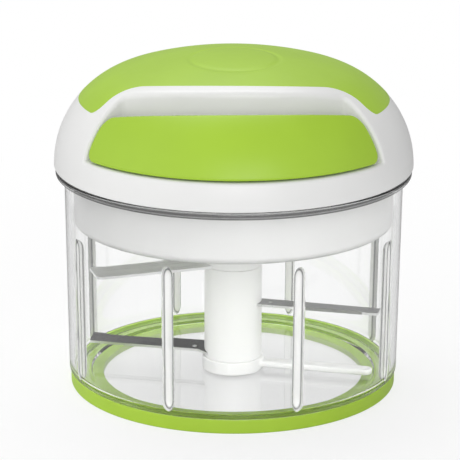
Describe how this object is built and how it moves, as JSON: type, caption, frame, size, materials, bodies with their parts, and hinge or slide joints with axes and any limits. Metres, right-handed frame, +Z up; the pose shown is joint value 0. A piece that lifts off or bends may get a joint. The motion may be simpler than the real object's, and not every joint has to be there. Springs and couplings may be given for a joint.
{
  "type": "pull cord food chopper",
  "caption": "Round hand chopper: clear ribbed bowl on a non-slip ring, blade column on a pin, and a domed lid whose cord handle spins the blades.",
  "frame": {"origin": "on the table, under the middle of the bowl", "axes": "+Z up along the blade column's axis; the pull handle faces -Y; +X to the right seen from the handle's side"},
  "size_m": [0.14, 0.14, 0.1322],
  "materials": {
    "clear_plastic": "clear moulded styrene acrylic, polished",
    "green_rubber": "satin soft-touch",
    "green_plastic": "satin",
    "white_plastic": "gloss, moulded",
    "grey_plastic": "plain moulded",
    "blade_steel": "brushed stainless",
    "steel": "bright",
    "bronze": "sintered",
    "cord": "braided nylon"
  },
  "bodies": {
    "bowl": {"bowl": "clear_plastic", "base_ring": "green_rubber", "pivot_pin": "steel"},
    "blades": {"base_collar": "white_plastic", "shaft_bush": "bronze", "blade_shaft": "white_plastic", "drive_socket": "white_plastic", "upper_blade": "blade_steel", "middle_blade": "blade_steel", "lower_blade": "blade_steel"},
    "lid": {"lid_base": "white_plastic", "dome_cover": "white_plastic", "top_grip": "green_rubber", "cord_guide": "steel", "drive_bush": "grey_plastic", "spool_plate": "grey_plastic", "plate_screws": "steel", "spring_arbor": "grey_plastic", "recoil_spring": "steel", "pull_cord": "cord"},
    "spool": {"cord_spool": "grey_plastic", "cord_winding": "cord", "drive_shaft": "grey_plastic", "spool_screw": "steel"},
    "handle": {"pull_handle": "green_plastic", "handle_plate": "white_plastic", "cord_stop": "steel"}
  },
  "joints": [
    {"name": "lid_lift", "type": "slide", "parent": "bowl", "child": "lid", "axis": [0, 0, 1], "range_m": [0, 0.1]},
    {"name": "handle_pull", "type": "slide", "parent": "lid", "child": "handle", "axis": [0, -1, 0], "range_m": [0, 0.3], "stiffness_N_per_m": 15, "springref_m": -0.3, "deforming": ["pull_cord"]},
    {"name": "spool_turn", "type": "hinge", "parent": "lid", "child": "spool", "pos_m": [0, 0, 0.108], "axis": [0, 0, 1], "range_deg": [0, 990], "deforming": ["recoil_spring"]},
    {"name": "blade_turn", "type": "hinge", "parent": "bowl", "child": "blades", "pos_m": [0, 0, 0.01], "axis": [0, 0, 1], "range_deg": [0, 990]}
  ],
  "couplings": [
    {"joint": "spool_turn", "follows": "handle_pull", "rad_per_m": 56.98},
    {"joint": "blade_turn", "follows": "handle_pull", "rad_per_m": 56.98}
  ]
}
